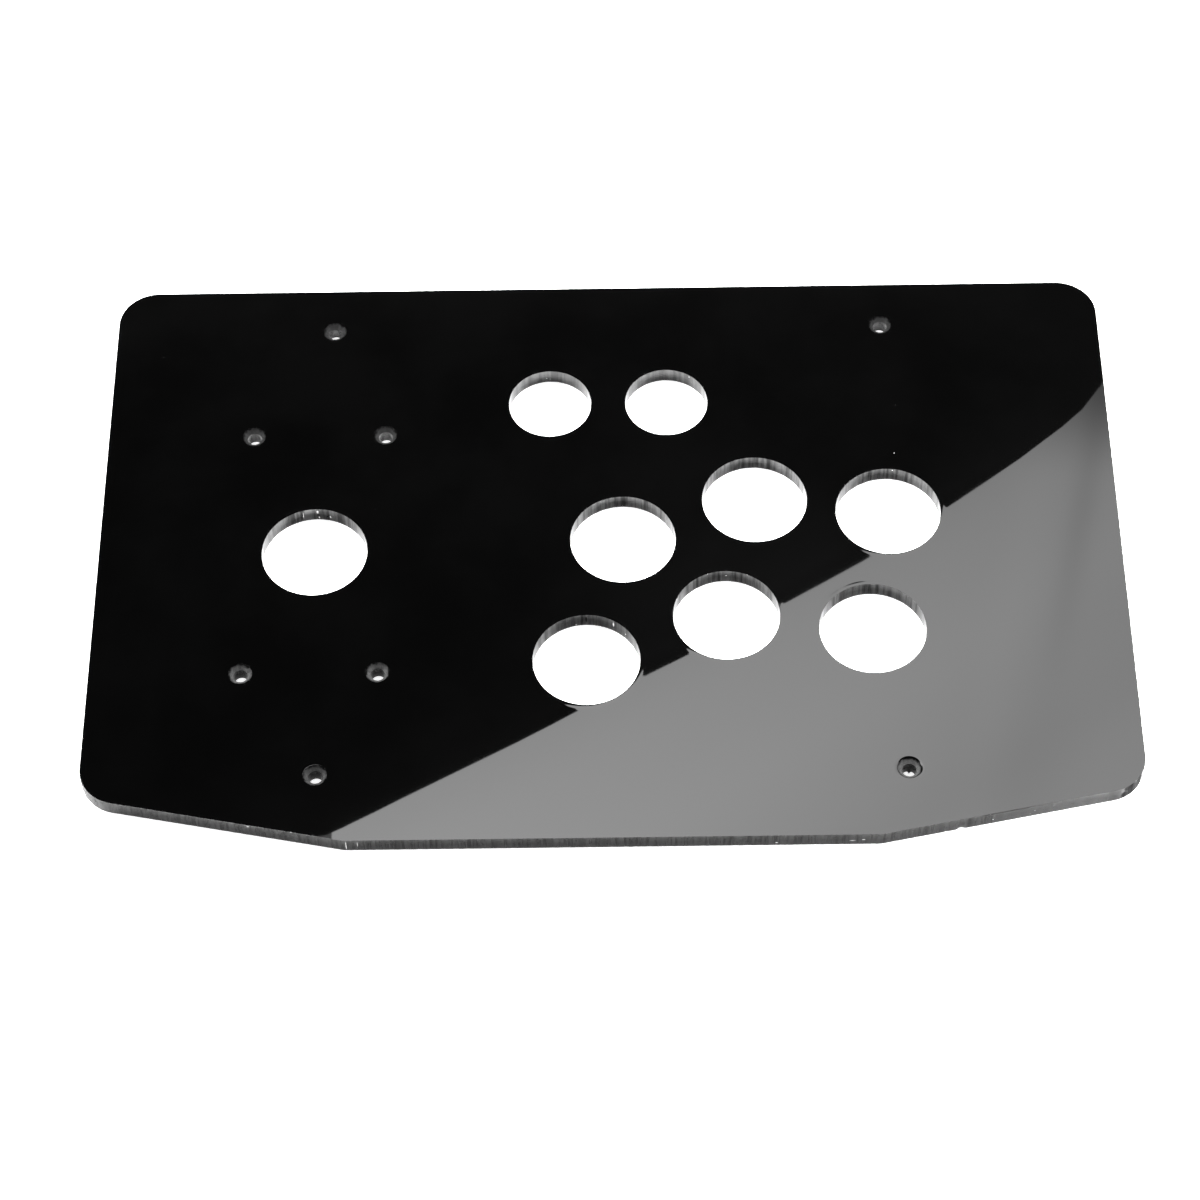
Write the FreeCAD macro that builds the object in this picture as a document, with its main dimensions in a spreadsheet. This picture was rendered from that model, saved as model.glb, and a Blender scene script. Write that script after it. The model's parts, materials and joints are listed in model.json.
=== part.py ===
import FreeCAD, Part
import os
from math import atan2, pi, radians, tan
import Sketcher

# Arcade control panel: one laser-cut sheet of 5 mm black acrylic.
#
# Frame: millimetres, origin at the centre of the underside's bounding
# rectangle, +X to the player's right, +Y to the rear (away from the player),
# +Z up, out of the glossy playing face. Underside at Z = 0.
#
# The sheet is a rounded rectangle whose front edge has a straight middle and
# two shallow oblique runs back to the sides. It carries a lever hole on the
# left, six main button holes in two arched rows of three, two smaller button
# holes near the rear edge, four countersunk holes around the lever hole for
# the lever's base plate, and four countersunk holes that fix the sheet to a
# case.

os.makedirs("parts", exist_ok=True)

doc = FreeCAD.newDocument("ArcadeControlPanel")
Vector = FreeCAD.Vector
Constraint = Sketcher.Constraint

# ---------------------------------------------------------------- dimensions
# Alias, value (mm or degrees), what it drives. Places are from the origin.
DIMENSIONS = [
    ("panel_width", 291.0, "overall width, side to side"),
    ("panel_depth", 192.0, "overall depth, front to rear"),
    ("sheet_thickness", 5.0, "nominal acrylic sheet thickness"),
    ("corner_radius", 11.5, "plan radius of the four corners"),
    ("front_flat", 145.0, "straight middle of the front edge"),
    ("front_setback", 14.6, "how far the oblique runs fall back at the sides"),
    ("lever_hole_dia", 30.0, "hole for the lever's shaft and dust washer"),
    ("lever_x", -84.0, "lever hole centre"),
    ("lever_y", 0.0, "lever hole centre"),
    ("main_button_dia", 30.0, "main button holes"),
    ("rear_inner_x", 3.8, "rear row, hole nearest the lever"),
    ("rear_inner_y", 3.1, "rear row, hole nearest the lever"),
    ("rear_middle_x", 41.7, "rear row, middle hole"),
    ("rear_middle_y", 16.6, "rear row, middle hole"),
    ("rear_outer_x", 79.8, "rear row, outer hole"),
    ("rear_outer_y", 11.9, "rear row, outer hole"),
    ("front_inner_x", -6.8, "front row, hole nearest the lever"),
    ("front_inner_y", -38.1, "front row, hole nearest the lever"),
    ("front_middle_x", 32.6, "front row, middle hole"),
    ("front_middle_y", -23.6, "front row, middle hole"),
    ("front_outer_x", 73.4, "front row, outer hole"),
    ("front_outer_y", -28.7, "front row, outer hole"),
    ("menu_button_dia", 24.0, "two smaller button holes"),
    ("menu_spacing", 34.0, "distance between the two smaller holes"),
    ("menu_y", 52.4, "their distance behind the centre line"),
    ("screw_hole_dia", 3.8, "clearance hole of every countersunk screw"),
    ("screw_head_dia", 6.6, "countersink diameter at the face"),
    ("screw_head_angle", 90.0, "included angle of the countersinks"),
    ("plate_screw_span_x", 38.2, "lever base plate screws, left to right"),
    ("plate_screw_span_y", 83.0, "lever base plate screws, front to rear"),
    ("case_screw_span_x", 162.0, "case screws, left to right"),
    ("case_screw_rear_y", 80.5, "rear pair of case screws"),
    ("case_screw_front_y", -75.0, "front pair of case screws"),
]

sheet = doc.addObject("Spreadsheet::Sheet", "Dims")
sheet.Label = "Dimensions"
for row, (alias, value, note) in enumerate(DIMENSIONS, start=1):
    sheet.set("A%d" % row, alias)
    sheet.set("B%d" % row, str(value))
    sheet.setAlias("B%d" % row, alias)
    sheet.set("C%d" % row, note)
doc.recompute()


def dim(alias):
    return float(sheet.get(alias))


def driven(alias):
    """A dimension as a (value, expression) pair."""
    return dim(alias), "Dims." + alias


VOLUME_TOLERANCE = 2.0    # mm3
SIZE_TOLERANCE = 0.01     # mm


def require_near(label, value, wanted, tolerance):
    if abs(value - wanted) > tolerance:
        raise RuntimeError("%s is %.3f, wanted %.3f" % (label, value, wanted))


# ------------------------------------------------------------ body, sketches
body = doc.addObject("PartDesign::Body", "ControlPanel")
body.Label = "control_panel"
sketches = []

# Sketcher's numbers for the points of an edge and for the sketch's own axes.
START, END, CENTRE = 1, 2, 3
X_AXIS, Y_AXIS = -1, -2
ORIGIN = (X_AXIS, START)


def new_sketch(name, height_alias=None):
    """A sketch on the body's XY plane, lifted to a height from the sheet."""
    sketch = body.newObject("Sketcher::SketchObject", name)
    xy_plane = next(f for f in body.Origin.OriginFeatures if f.Role == "XY_Plane")
    sketch.AttachmentSupport = [(xy_plane, "")]
    sketch.MapMode = "FlatFace"
    if height_alias:
        sketch.setExpression("AttachmentOffset.Base.z", "Dims." + height_alias)
    sketches.append(sketch)
    return sketch


def bind(sketch, name, expression, *definition):
    """Add a dimension, name it and drive it from the sheet."""
    index = sketch.addConstraint(Constraint(*definition))
    sketch.renameConstraint(index, name)
    sketch.setExpression("Constraints." + name, expression)


def circle(x, y, diameter):
    return Part.Circle(Vector(x, y, 0), Vector(0, 0, 1), diameter / 2)


def add_hole(sketch, tag, x_pair, y_pair, dia_name, dia_alias, like=None):
    """A circle placed by (value, expression) pairs, sized from the sheet or like another."""
    (x, x_expression), (y, y_expression) = x_pair, y_pair
    diameter, dia_expression = driven(dia_alias)
    hole = sketch.addGeometry(circle(x, y, diameter), False)
    bind(sketch, tag + "X", x_expression, "DistanceX", *ORIGIN, hole, CENTRE, x)
    if y == 0.0:
        # A zero distance is replaced by holding the centre on the X axis.
        sketch.addConstraint(Constraint("PointOnObject", hole, CENTRE, X_AXIS))
    else:
        bind(sketch, tag + "Y", y_expression, "DistanceY", *ORIGIN, hole, CENTRE, y)
    if like is None:
        bind(sketch, dia_name, dia_expression, "Diameter", hole, diameter)
    else:
        sketch.addConstraint(Constraint("Equal", like, hole))
    return hole


# ------------------------------------------------------------------- outline
def draw_outline():
    half_width = dim("panel_width") / 2
    half_depth = dim("panel_depth") / 2
    radius = dim("corner_radius")
    half_flat = dim("front_flat") / 2
    setback = dim("front_setback")

    # Right oblique run: its direction out to the side, and outward normal.
    run = Vector(half_width - half_flat, setback, 0)
    run.normalize()
    normal = Vector(run.y, -run.x, 0)

    # The front corner arc's centre is one radius inside the side and the run.
    arc_x = half_width - radius
    flat_end = Vector(half_flat, -half_depth, 0)
    arc_y = (flat_end.dot(normal) - radius - normal.x * arc_x) / normal.y
    tangent = Vector(arc_x, arc_y, 0) + normal * radius
    right_angle = atan2(normal.y, normal.x)
    left_angle = atan2(normal.y, -normal.x) + 2 * pi
    rear_arc_y = half_depth - radius

    def line(x1, y1, x2, y2):
        return Part.LineSegment(Vector(x1, y1, 0), Vector(x2, y2, 0))

    def corner(x, y, start_angle, end_angle):
        return Part.ArcOfCircle(circle(x, y, 2 * radius), start_angle, end_angle)

    sketch = new_sketch("OutlineSketch")
    # Anticlockwise from the rear edge.
    (rear, rear_left, left, front_left, run_left,
     front, run_right, front_right, right, rear_right) = sketch.addGeometry([
         line(arc_x, half_depth, -arc_x, half_depth),
         corner(-arc_x, rear_arc_y, pi / 2, pi),
         line(-half_width, rear_arc_y, -half_width, arc_y),
         corner(-arc_x, arc_y, pi, left_angle),
         line(-tangent.x, tangent.y, -half_flat, -half_depth),
         line(-half_flat, -half_depth, half_flat, -half_depth),
         line(half_flat, -half_depth, tangent.x, tangent.y),
         corner(arc_x, arc_y, right_angle, 0.0),
         line(half_width, arc_y, half_width, rear_arc_y),
         corner(arc_x, rear_arc_y, 0.0, pi / 2),
     ], False)
    # Theoretical sharp front corners, which the setback is measured to.
    sharp_left, sharp_right = sketch.addGeometry([
        Part.Point(Vector(-half_width, -half_depth + setback, 0)),
        Part.Point(Vector(half_width, -half_depth + setback, 0)),
    ], True)

    for edge, next_edge in (
            (rear, rear_left), (rear_left, left), (left, front_left),
            (front_left, run_left), (run_right, front_right),
            (front_right, right), (right, rear_right), (rear_right, rear)):
        sketch.addConstraint(Constraint("Tangent", edge, END, next_edge, START))
    for edge, next_edge in ((run_left, front), (front, run_right)):
        sketch.addConstraint(Constraint("Coincident", edge, END, next_edge, START))
    for edge in (rear, front):
        sketch.addConstraint(Constraint("Horizontal", edge))
    for edge in (left, right):
        sketch.addConstraint(Constraint("Vertical", edge))
    for arc in (rear_left, front_left, front_right):
        sketch.addConstraint(Constraint("Equal", rear_right, arc))
    for point, edge in ((sharp_left, left), (sharp_left, run_left),
                        (sharp_right, right), (sharp_right, run_right)):
        sketch.addConstraint(Constraint("PointOnObject", point, START, edge))

    bind(sketch, "CornerRadius", "Dims.corner_radius", "Radius", rear_right, radius)
    # Name, expression, direction, from point, to point, value.
    for name, expression, direction, from_point, to_point, value in (
            ("RightSide", "Dims.panel_width / 2", "DistanceX",
             ORIGIN, (right, START), half_width),
            ("LeftSide", "Dims.panel_width / 2", "DistanceX",
             (left, START), ORIGIN, half_width),
            ("RearSide", "Dims.panel_depth / 2", "DistanceY",
             ORIGIN, (rear, START), half_depth),
            ("FrontSide", "Dims.panel_depth / 2", "DistanceY",
             (front, START), ORIGIN, half_depth),
            ("FrontFlatRight", "Dims.front_flat / 2", "DistanceX",
             ORIGIN, (front, END), half_flat),
            ("FrontFlatLeft", "Dims.front_flat / 2", "DistanceX",
             (front, START), ORIGIN, half_flat),
            ("SetbackLeft", "Dims.front_setback", "DistanceY",
             (front, START), (sharp_left, START), setback),
            ("SetbackRight", "Dims.front_setback", "DistanceY",
             (front, END), (sharp_right, START), setback)):
        bind(sketch, name, expression, direction, *from_point, *to_point, value)
    doc.recompute()
    return sketch


blank = body.newObject("PartDesign::Pad", "SheetBlank")if False else None
outline = draw_outline()
blank = body.newObject("PartDesign::Pad", "SheetBlank")
blank.Profile = outline
blank.setExpression("Length", "Dims.sheet_thickness")
doc.recompute()


# -------------------------------------------------------------- button holes
def cut_through(name, sketch, dia_alias):
    """Cut a sketch of equal circles up from the underside through the sheet."""
    doc.recompute()
    before = body.Shape.Volume
    cut = body.newObject("PartDesign::Pocket", name)
    cut.Profile = sketch
    cut.Type = "ThroughAll"
    cut.Reversed = True
    doc.recompute()
    hole_volume = pi * (dim(dia_alias) / 2) ** 2 * dim("sheet_thickness")
    require_near(name + " volume", before - body.Shape.Volume,
                 sketch.GeometryCount * hole_volume, VOLUME_TOLERANCE)


def cut_lever_hole():
    sketch = new_sketch("LeverHoleSketch")
    add_hole(sketch, "Lever", driven("lever_x"), driven("lever_y"),
             "LeverDia", "lever_hole_dia")
    cut_through("LeverHole", sketch, "lever_hole_dia")


def cut_main_holes():
    sketch = new_sketch("MainButtonSketch")
    first = None
    for row in ("rear", "front"):
        for place in ("inner", "middle", "outer"):
            alias = row + "_" + place
            hole = add_hole(sketch, row.capitalize() + place.capitalize(),
                            driven(alias + "_x"), driven(alias + "_y"),
                            "RearInnerDia", "main_button_dia", like=first)
            if first is None:
                first = hole
    cut_through("MainButtonHoles", sketch, "main_button_dia")


def cut_menu_holes():
    """Two smaller holes, mirrored about the Y axis."""
    spacing, back, diameter = dim("menu_spacing"), dim("menu_y"), dim("menu_button_dia")
    sketch = new_sketch("MenuButtonSketch")
    left, right = sketch.addGeometry([
        circle(-spacing / 2, back, diameter), circle(spacing / 2, back, diameter)], False)
    sketch.addConstraint(Constraint("Symmetric", left, CENTRE, right, CENTRE, Y_AXIS))
    sketch.addConstraint(Constraint("Equal", left, right))
    bind(sketch, "MenuSpacing", "Dims.menu_spacing",
         "DistanceX", left, CENTRE, right, CENTRE, spacing)
    bind(sketch, "MenuBack", "Dims.menu_y", "DistanceY", *ORIGIN, left, CENTRE, back)
    bind(sketch, "MenuDia", "Dims.menu_button_dia", "Diameter", left, diameter)
    cut_through("MenuButtonHoles", sketch, "menu_button_dia")


cut_lever_hole()
cut_main_holes()
cut_menu_holes()


# --------------------------------------------------- countersunk screw holes
def screw_volume():
    """Volume of one hole: a cylinder below the cone of the countersink."""
    hole_radius = dim("screw_hole_dia") / 2
    head_radius = dim("screw_head_dia") / 2
    cone_depth = (head_radius - hole_radius) / tan(radians(dim("screw_head_angle") / 2))
    cylinder = pi * hole_radius ** 2 * (dim("sheet_thickness") - cone_depth)
    cone = pi * cone_depth / 3 * (
        head_radius ** 2 + head_radius * hole_radius + hole_radius ** 2)
    return cylinder + cone


def cut_screw_holes(sketch_name, hole_name, x_pairs, y_pairs):
    """Countersunk holes at every crossing of the (value, expression) pairs."""
    sketch = new_sketch(sketch_name, "sheet_thickness")
    centres = [(x_pair, y_pair) for x_pair in x_pairs for y_pair in y_pairs]
    first = None
    for number, (x_pair, y_pair) in enumerate(centres, start=1):
        circle_id = add_hole(sketch, "Screw%d" % number, x_pair, y_pair,
                             "ScrewDia", "screw_hole_dia", like=first)
        if first is None:
            first = circle_id
    doc.recompute()

    before = body.Shape.Volume
    hole = body.newObject("PartDesign::Hole", hole_name)
    hole.Profile = sketch
    doc.recompute()
    hole.Threaded = False
    hole.DepthType = "ThroughAll"
    hole.DrillPoint = "Flat"
    hole.Diameter = dim("screw_hole_dia")
    hole.HoleCutType = "Countersink"
    hole.HoleCutCustomValues = True
    hole.HoleCutDiameter = dim("screw_head_dia")
    hole.HoleCutCountersinkAngle = dim("screw_head_angle")
    hole.setExpression("Diameter", "Dims.screw_hole_dia")
    hole.setExpression("HoleCutDiameter", "Dims.screw_head_dia")
    hole.setExpression("HoleCutCountersinkAngle", "Dims.screw_head_angle * 1 deg")
    doc.recompute()
    require_near(hole_name + " volume", before - body.Shape.Volume,
                 len(centres) * screw_volume(), VOLUME_TOLERANCE)
    return hole


def beside(centre_alias, span_alias, side):
    """Half a span from a centre, on side -1 or +1, as a (value, expression) pair."""
    sign = "+" if side > 0 else "-"
    return (dim(centre_alias) + side * dim(span_alias) / 2,
            "Dims.%s %s Dims.%s / 2" % (centre_alias, sign, span_alias))


cut_screw_holes(
    "PlateScrewSketch", "PlateScrewHoles",
    [beside("lever_x", "plate_screw_span_x", side) for side in (-1, 1)],
    [beside("lever_y", "plate_screw_span_y", side) for side in (1, -1)])

case_half_span = dim("case_screw_span_x") / 2
body.Tip = cut_screw_holes(
    "CaseScrewSketch", "CaseScrewHoles",
    [(-case_half_span, "-Dims.case_screw_span_x / 2"),
     (case_half_span, "Dims.case_screw_span_x / 2")],
    [driven("case_screw_rear_y"), driven("case_screw_front_y")])
doc.recompute()

# --------------------------------------------------------- verify and export
for obj in doc.Objects:
    for flag in ("Invalid", "Error"):
        if flag in obj.State:
            raise RuntimeError("%s is %s" % (obj.Name, flag))
for sketch in sketches:
    if not sketch.FullyConstrained:
        raise RuntimeError(sketch.Name + " is not fully constrained")

shape = body.Shape
if shape.isNull() or not shape.isValid():
    raise RuntimeError("control_panel has no valid shape")
if len(shape.Solids) != 1:
    raise RuntimeError("control_panel is not a single solid")
box = shape.BoundBox
require_near("width", box.XLength, dim("panel_width"), SIZE_TOLERANCE)
require_near("depth", box.YLength, dim("panel_depth"), SIZE_TOLERANCE)
require_near("thickness", box.ZLength, dim("sheet_thickness"), SIZE_TOLERANCE)
require_near("underside", box.ZMin, 0.0, SIZE_TOLERANCE)

shape.exportStep("parts/%s.step" % body.Label)
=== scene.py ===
"""Front control panel: a sheet of gloss black acrylic with laser-cut edges.

Row frame: X to the right, Y to the rear, Z up, underside of the sheet at z = 0.
Shapes are worked out in millimetres and turned into metres as they are stored.
"""

import json
import math

import bpy
import numpy as np
from mathutils import Matrix, Vector
from mathutils.geometry import delaunay_2d_cdt

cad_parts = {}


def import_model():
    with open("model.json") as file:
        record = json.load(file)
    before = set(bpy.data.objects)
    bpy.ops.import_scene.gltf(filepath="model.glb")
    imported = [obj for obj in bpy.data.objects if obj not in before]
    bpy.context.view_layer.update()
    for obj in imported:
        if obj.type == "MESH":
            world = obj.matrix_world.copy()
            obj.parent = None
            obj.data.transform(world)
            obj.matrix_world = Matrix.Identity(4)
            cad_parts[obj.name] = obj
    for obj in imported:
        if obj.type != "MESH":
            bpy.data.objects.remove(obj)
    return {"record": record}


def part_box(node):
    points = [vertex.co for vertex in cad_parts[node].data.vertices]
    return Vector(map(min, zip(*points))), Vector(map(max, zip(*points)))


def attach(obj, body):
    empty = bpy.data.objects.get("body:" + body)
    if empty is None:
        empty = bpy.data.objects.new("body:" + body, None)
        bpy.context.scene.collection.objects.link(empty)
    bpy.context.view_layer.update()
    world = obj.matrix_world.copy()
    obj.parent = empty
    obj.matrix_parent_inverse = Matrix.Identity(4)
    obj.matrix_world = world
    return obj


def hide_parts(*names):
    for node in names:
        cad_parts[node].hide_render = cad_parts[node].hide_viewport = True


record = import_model()["record"]
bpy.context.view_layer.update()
lo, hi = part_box("control_panel")
MM = 0.001
rng = np.random.default_rng(20)

# Sheet, millimetres
HALF_W = (hi.x - lo.x) / 2 / MM
HALF_D = (hi.y - lo.y) / 2 / MM
MID = ((hi.x + lo.x) / 2 / MM, (hi.y + lo.y) / 2 / MM)
TOP = hi.z / MM
BOTTOM = lo.z / MM
THICK = TOP - BOTTOM
CORNER = 11.5            # corner radius
FLAT = 72.5              # half of the straight front run
SETBACK = 14.6           # how far the oblique runs fall back at the sides
CSK_R = 3.3              # countersink radius at the face

# Spacing of mesh points, millimetres
LINE_STEP = 0.62
ARC_STEP = 0.5
HOLE_STEP = 0.6
SCREW_POINTS = 72
UPPER_PITCH = 7.0
LOWER_PITCH = 14.0


# --------------------------------------------------------------------------
# Loops: every edge of the sheet is a closed run of points with a normal that
# points out of the material, sampled by arc length.
# --------------------------------------------------------------------------
def outline_loop():
    """Closed counter-clockwise outline."""
    oblique_x = HALF_W - FLAT
    run = np.array([oblique_x, SETBACK]) / math.hypot(oblique_x, SETBACK)
    slant = np.array([run[1], -run[0]])
    cx = HALF_W - CORNER
    cy = ((FLAT * slant[0] - HALF_D * slant[1] - CORNER) - slant[0] * cx) / slant[1]
    tangent = np.array([cx, cy]) + slant * CORNER
    slant_angle = math.atan2(slant[1], slant[0])
    points, normals = [], []

    def line(start, end, normal, first=None):
        length = math.hypot(end[0] - start[0], end[1] - start[1])
        count = max(2, int(round(length / LINE_STEP)))
        for i in range(count):
            t = i / count
            points.append((start[0] + (end[0] - start[0]) * t,
                           start[1] + (end[1] - start[1]) * t))
        normals.extend([first or normal] + [normal] * (count - 1))

    def arc(centre, start, stop):
        count = max(4, int(round(abs(stop - start) * CORNER / ARC_STEP)))
        for i in range(count):
            angle = start + (stop - start) * i / count
            cos, sin = math.cos(angle), math.sin(angle)
            points.append((centre[0] + CORNER * cos, centre[1] + CORNER * sin))
            normals.append((cos, sin))

    # mitred normal where the front run meets an oblique one
    half = math.atan2(SETBACK, oblique_x) / 2
    stretch = 1 / math.cos(half)
    miter = (math.sin(half) * stretch, -math.cos(half) * stretch)
    line((-FLAT, -HALF_D), (FLAT, -HALF_D), (0.0, -1.0), first=(-miter[0], miter[1]))
    line((FLAT, -HALF_D), tangent, tuple(slant), first=miter)
    arc((cx, cy), slant_angle, 0.0)
    line((HALF_W, cy), (HALF_W, HALF_D - CORNER), (1.0, 0.0))
    arc((cx, HALF_D - CORNER), 0.0, math.pi / 2)
    line((cx, HALF_D), (-cx, HALF_D), (0.0, 1.0))
    arc((-cx, HALF_D - CORNER), math.pi / 2, math.pi)
    line((-HALF_W, HALF_D - CORNER), (-HALF_W, cy), (-1.0, 0.0))
    arc((-cx, cy), math.pi, math.pi * 2 - (math.pi + slant_angle))
    line((-tangent[0], tangent[1]), (-FLAT, -HALF_D), (-slant[0], slant[1]))
    return np.array(points) + np.array(MID), np.array(normals)


def circle_normals(count, phase):
    """Inward normals of a hole, run so that the material is on the left."""
    angle = phase - np.arange(count) / count * 2 * math.pi
    return np.stack([-np.cos(angle), -np.sin(angle)], 1)


def arc_length(points):
    steps = np.linalg.norm(np.roll(points, -1, 0) - points, axis=1)
    return np.concatenate([[0.0], np.cumsum(steps)[:-1]]), steps.sum()


class Ripple:
    """Smooth noise along a closed loop, made of whole-number waves."""

    def __init__(self, length, shortest, longest, count, lag=0.0):
        period = np.exp(rng.uniform(math.log(shortest), math.log(longest), count))
        self.waves = np.maximum(1, np.round(length / period))
        self.length = length
        self.phase = rng.uniform(0, 2 * math.pi, count)
        self.weight = rng.uniform(0.5, 1.0, count)
        self.weight /= math.sqrt((self.weight ** 2).sum() / 2)
        self.lag = rng.normal(0, 1, count) * lag

    def total(self, along, z, weight):
        angle = (2 * math.pi * self.waves[None, :] * along[:, None] / self.length
                 + self.phase[None, :] + self.lag[None, :] * z)
        return (np.cos(angle) * weight[None, :]).sum(1)

    def __call__(self, along, z=0.0):
        return self.total(along, z, self.weight)

    def slope(self, along, z):
        """Waves weighted by period, so that every wave tilts the wall alike."""
        return self.total(along, z,
                          self.weight / (2 * math.pi * self.waves / self.length))


# --------------------------------------------------------------------------
# Mesh of the sheet: rows of points follow each edge over the face bead, the
# rolled rim, the laser-cut wall and the lower rim; the two faces are filled.
# --------------------------------------------------------------------------
FACE, EDGE, HOLE, SUNK = range(4)      # material slots
verts, faces, face_mat = [], [], []
tool_r, rim = [], []                   # per vertex: cutter radius (m), nearness to the rim (scuffs on the face; painted highlight and a dark line on the outline)
upper_loops, lower_loops = [], []      # (first vertex, count) of each face border
rings = []                             # (x, y, radius) kept clear of grid points


def add_row(points, z, tool_radius=0.0, rim_nearness=0.0):
    start, count = len(verts), len(points)
    for (x, y), height in zip(points, np.broadcast_to(z, count)):
        verts.append((x * MM, y * MM, height * MM))
    tool_r.extend(np.broadcast_to(tool_radius * MM, count))
    rim.extend([rim_nearness] * count)
    return start, count


def stitch(rows, cut_start, material):
    """Join rows into strips and keep the end rows as borders of the faces.

    Strips before cut_start and the last four belong to the gloss face."""
    for k in range(len(rows) - 1):
        (start, count), (below, _) = rows[k], rows[k + 1]
        on_face = k < cut_start or k >= len(rows) - 4
        for i in range(count):
            j = (i + 1) % count
            faces.append((start + i, below + i, below + j, start + j))
            face_mat.append(FACE if on_face else material)
    upper_loops.append(rows[0])
    lower_loops.append(rows[-1])


# (distance from the wall, height against the face): flat face, a very low
# bead left by the heat of the cut, then the rolled rim.
BEAD = [(2.9, 0.0), (2.2, 0.0), (1.5, 0.0), (1.28, 0.0004), (1.0, 0.0016),
        (0.75, 0.0025), (0.5, 0.0028), (0.28, 0.00262), (0.10, 0.00244),
        (0.04, 0.0024), (0.028, 0.0022), (0.010, -0.006), (0.0, -0.024)]
# heights of the wall rows against the face
WALL = [-0.045, -0.2, -0.6, -1.2, -2.0, -2.8, -3.6, -4.3, -4.8]
# (distance from the wall, height above the underside)
FOOT = [(0.03, 0.03), (0.10, 0.004), (0.32, 0.0), (1.1, 0.0), (2.4, 0.0)]
# nicks in the right-hand oblique run: (x, y, width, depth, height above underside)
OUTLINE_NICKS = [(94.2, -91.7, 0.9, 0.42, 1.5), (90.2, -92.5, 0.5, 0.12, 0.9)]


def cut_edge(points, normals, material, bead_gain, tilt, ragged, nicks=()):
    """Rows of one laser-cut edge."""
    along, length = arc_length(points)
    swell = Ripple(length, 9.0, 60.0, 8)
    coarse = Ripple(length, 1.6, 4.5, 26, lag=0.12)
    fine = Ripple(length, 1.3, 3.0, 20)
    gain = bead_gain * np.clip(1.0 + 0.22 * swell(along), 0.4, 1.7)
    lip = 0.012 * np.abs(fine(along)) * ragged
    bites = []
    for x, y, width, depth, height in nicks:
        away = (points[:, 0] - x) ** 2 + (points[:, 1] - y) ** 2
        bites.append((depth * np.exp(-(away / width ** 2) ** 2), height))
    rows = []

    def row(inset, z, rim_nearness):
        rows.append(add_row(points - normals * inset[:, None], z, rim_nearness=rim_nearness))

    for distance, height in BEAD:
        inset = distance + math.exp(-distance / 0.04) * (0.012 + lip)
        rise = height * gain if height > 0 else height
        row(inset, TOP + rise, math.exp(-distance / 0.35))
    for height in WALL:
        lean = 0.012 * math.exp(height / 0.5) + 0.012 * (height / THICK + 0.5)
        grow = 1.0 - math.exp(height / 0.8)
        inset = lean - tilt * grow * coarse.slope(along, height)
        inset = inset + lip * math.exp(height / 0.3)
        for bite, tall in bites:
            inset = inset + bite * max(0.0, 1.0 - (THICK + height) / tall)
        row(inset, TOP + height, math.exp(height / 0.5))
    for distance, height in FOOT:
        near = math.exp(-distance / 0.12)
        inset = distance - tilt * near * coarse.slope(along, -THICK) * 0.8
        for bite, _ in bites:
            inset = inset + bite * max(0.0, 1.0 - distance / 2.0)
        row(inset, BOTTOM + height, 0.4 * math.exp(-distance / 0.3))
    stitch(rows, len(BEAD) - 3, material)


# (distance outside the countersink, drop at full roll)
SHOULDER = [(2.3, 0.0), (1.5, 0.0), (0.95, 0.0), (0.66, 0.0), (0.45, 0.022),
            (0.27, 0.062), (0.12, 0.118), (0.045, 0.153), (0.03, 0.16)]
CONE = (0.1, 0.24, 0.4, 0.56, 0.72, 0.86, 0.96)     # shares of the way down
# (height against the face, share of the burr), below the first bore row
BORE = [(-2.1, 0.0), (-3.0, 0.0), (-3.8, 0.1), (-4.5, 0.7), (-4.86, 1.0)]
# (distance outside the bore, height above the underside)
BORE_FOOT = [(0.04, 0.05), (0.13, 0.006), (0.4, 0.0), (1.2, 0.0), (2.4, 0.0)]


def screw_hole(centre, bore, ragged, shoulder, burr):
    """Countersunk screw hole: rolled shoulder, cone with chatter, plain bore."""
    normals = circle_normals(SCREW_POINTS, rng.uniform(0, 1))
    turn = np.arange(SCREW_POINTS) / SCREW_POINTS * 2 * math.pi
    lobes = Ripple(2 * math.pi, 0.35, 1.3, 14, lag=0.6)
    jag = Ripple(2 * math.pi, 0.22, 0.9, 16)
    wander = Ripple(2 * math.pi, 2.0, 6.3, 4)
    edge = CSK_R + 0.05 * ragged * wander(turn) + 0.03 * ragged * jag(turn)
    # the shoulder rolls over most on the rear half of the rim
    roll = shoulder * np.clip(0.50 - 0.62 * normals[:, 1], 0.0, 1.0)
    rows = []

    def ring(radius, z, rim_nearness=0.0):
        points = np.array(centre) - normals * radius[:, None]
        rows.append(add_row(points, z, radius, rim_nearness))

    for out, drop in SHOULDER:
        radius = CSK_R + out + (edge - CSK_R) * math.exp(-out / 0.35) * (out < 1.4)
        z = TOP - drop * roll - 0.005 * math.exp(-out / 0.06)
        ring(radius, z, math.exp(-out / 0.2))
    drop = 0.05 + 0.17 * roll
    ring(edge, TOP - drop, 1.0)
    depth = (CSK_R - bore) * 0.86
    for t in CONE:
        radius = edge + (bore - edge) * t + 0.014 * ragged * lobes(turn, t * 3)
        ring(radius, TOP - drop - (depth - drop) * t)
    # a burr stands into the bore near its rear
    angle = np.arctan2(-normals[:, 1], -normals[:, 0])
    spike = burr * np.exp(-((angle - 1.45) / 0.2) ** 2)
    for height, share in [(-depth - 0.12, 0.0)] + BORE:
        ring(bore + 0.008 * lobes(turn, height) - spike * share, TOP + height)
    for out, height in BORE_FOOT:
        ring(bore + out + np.zeros(SCREW_POINTS), BOTTOM + height)
    stitch(rows, len(SHOULDER) - 1, SUNK)


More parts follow.
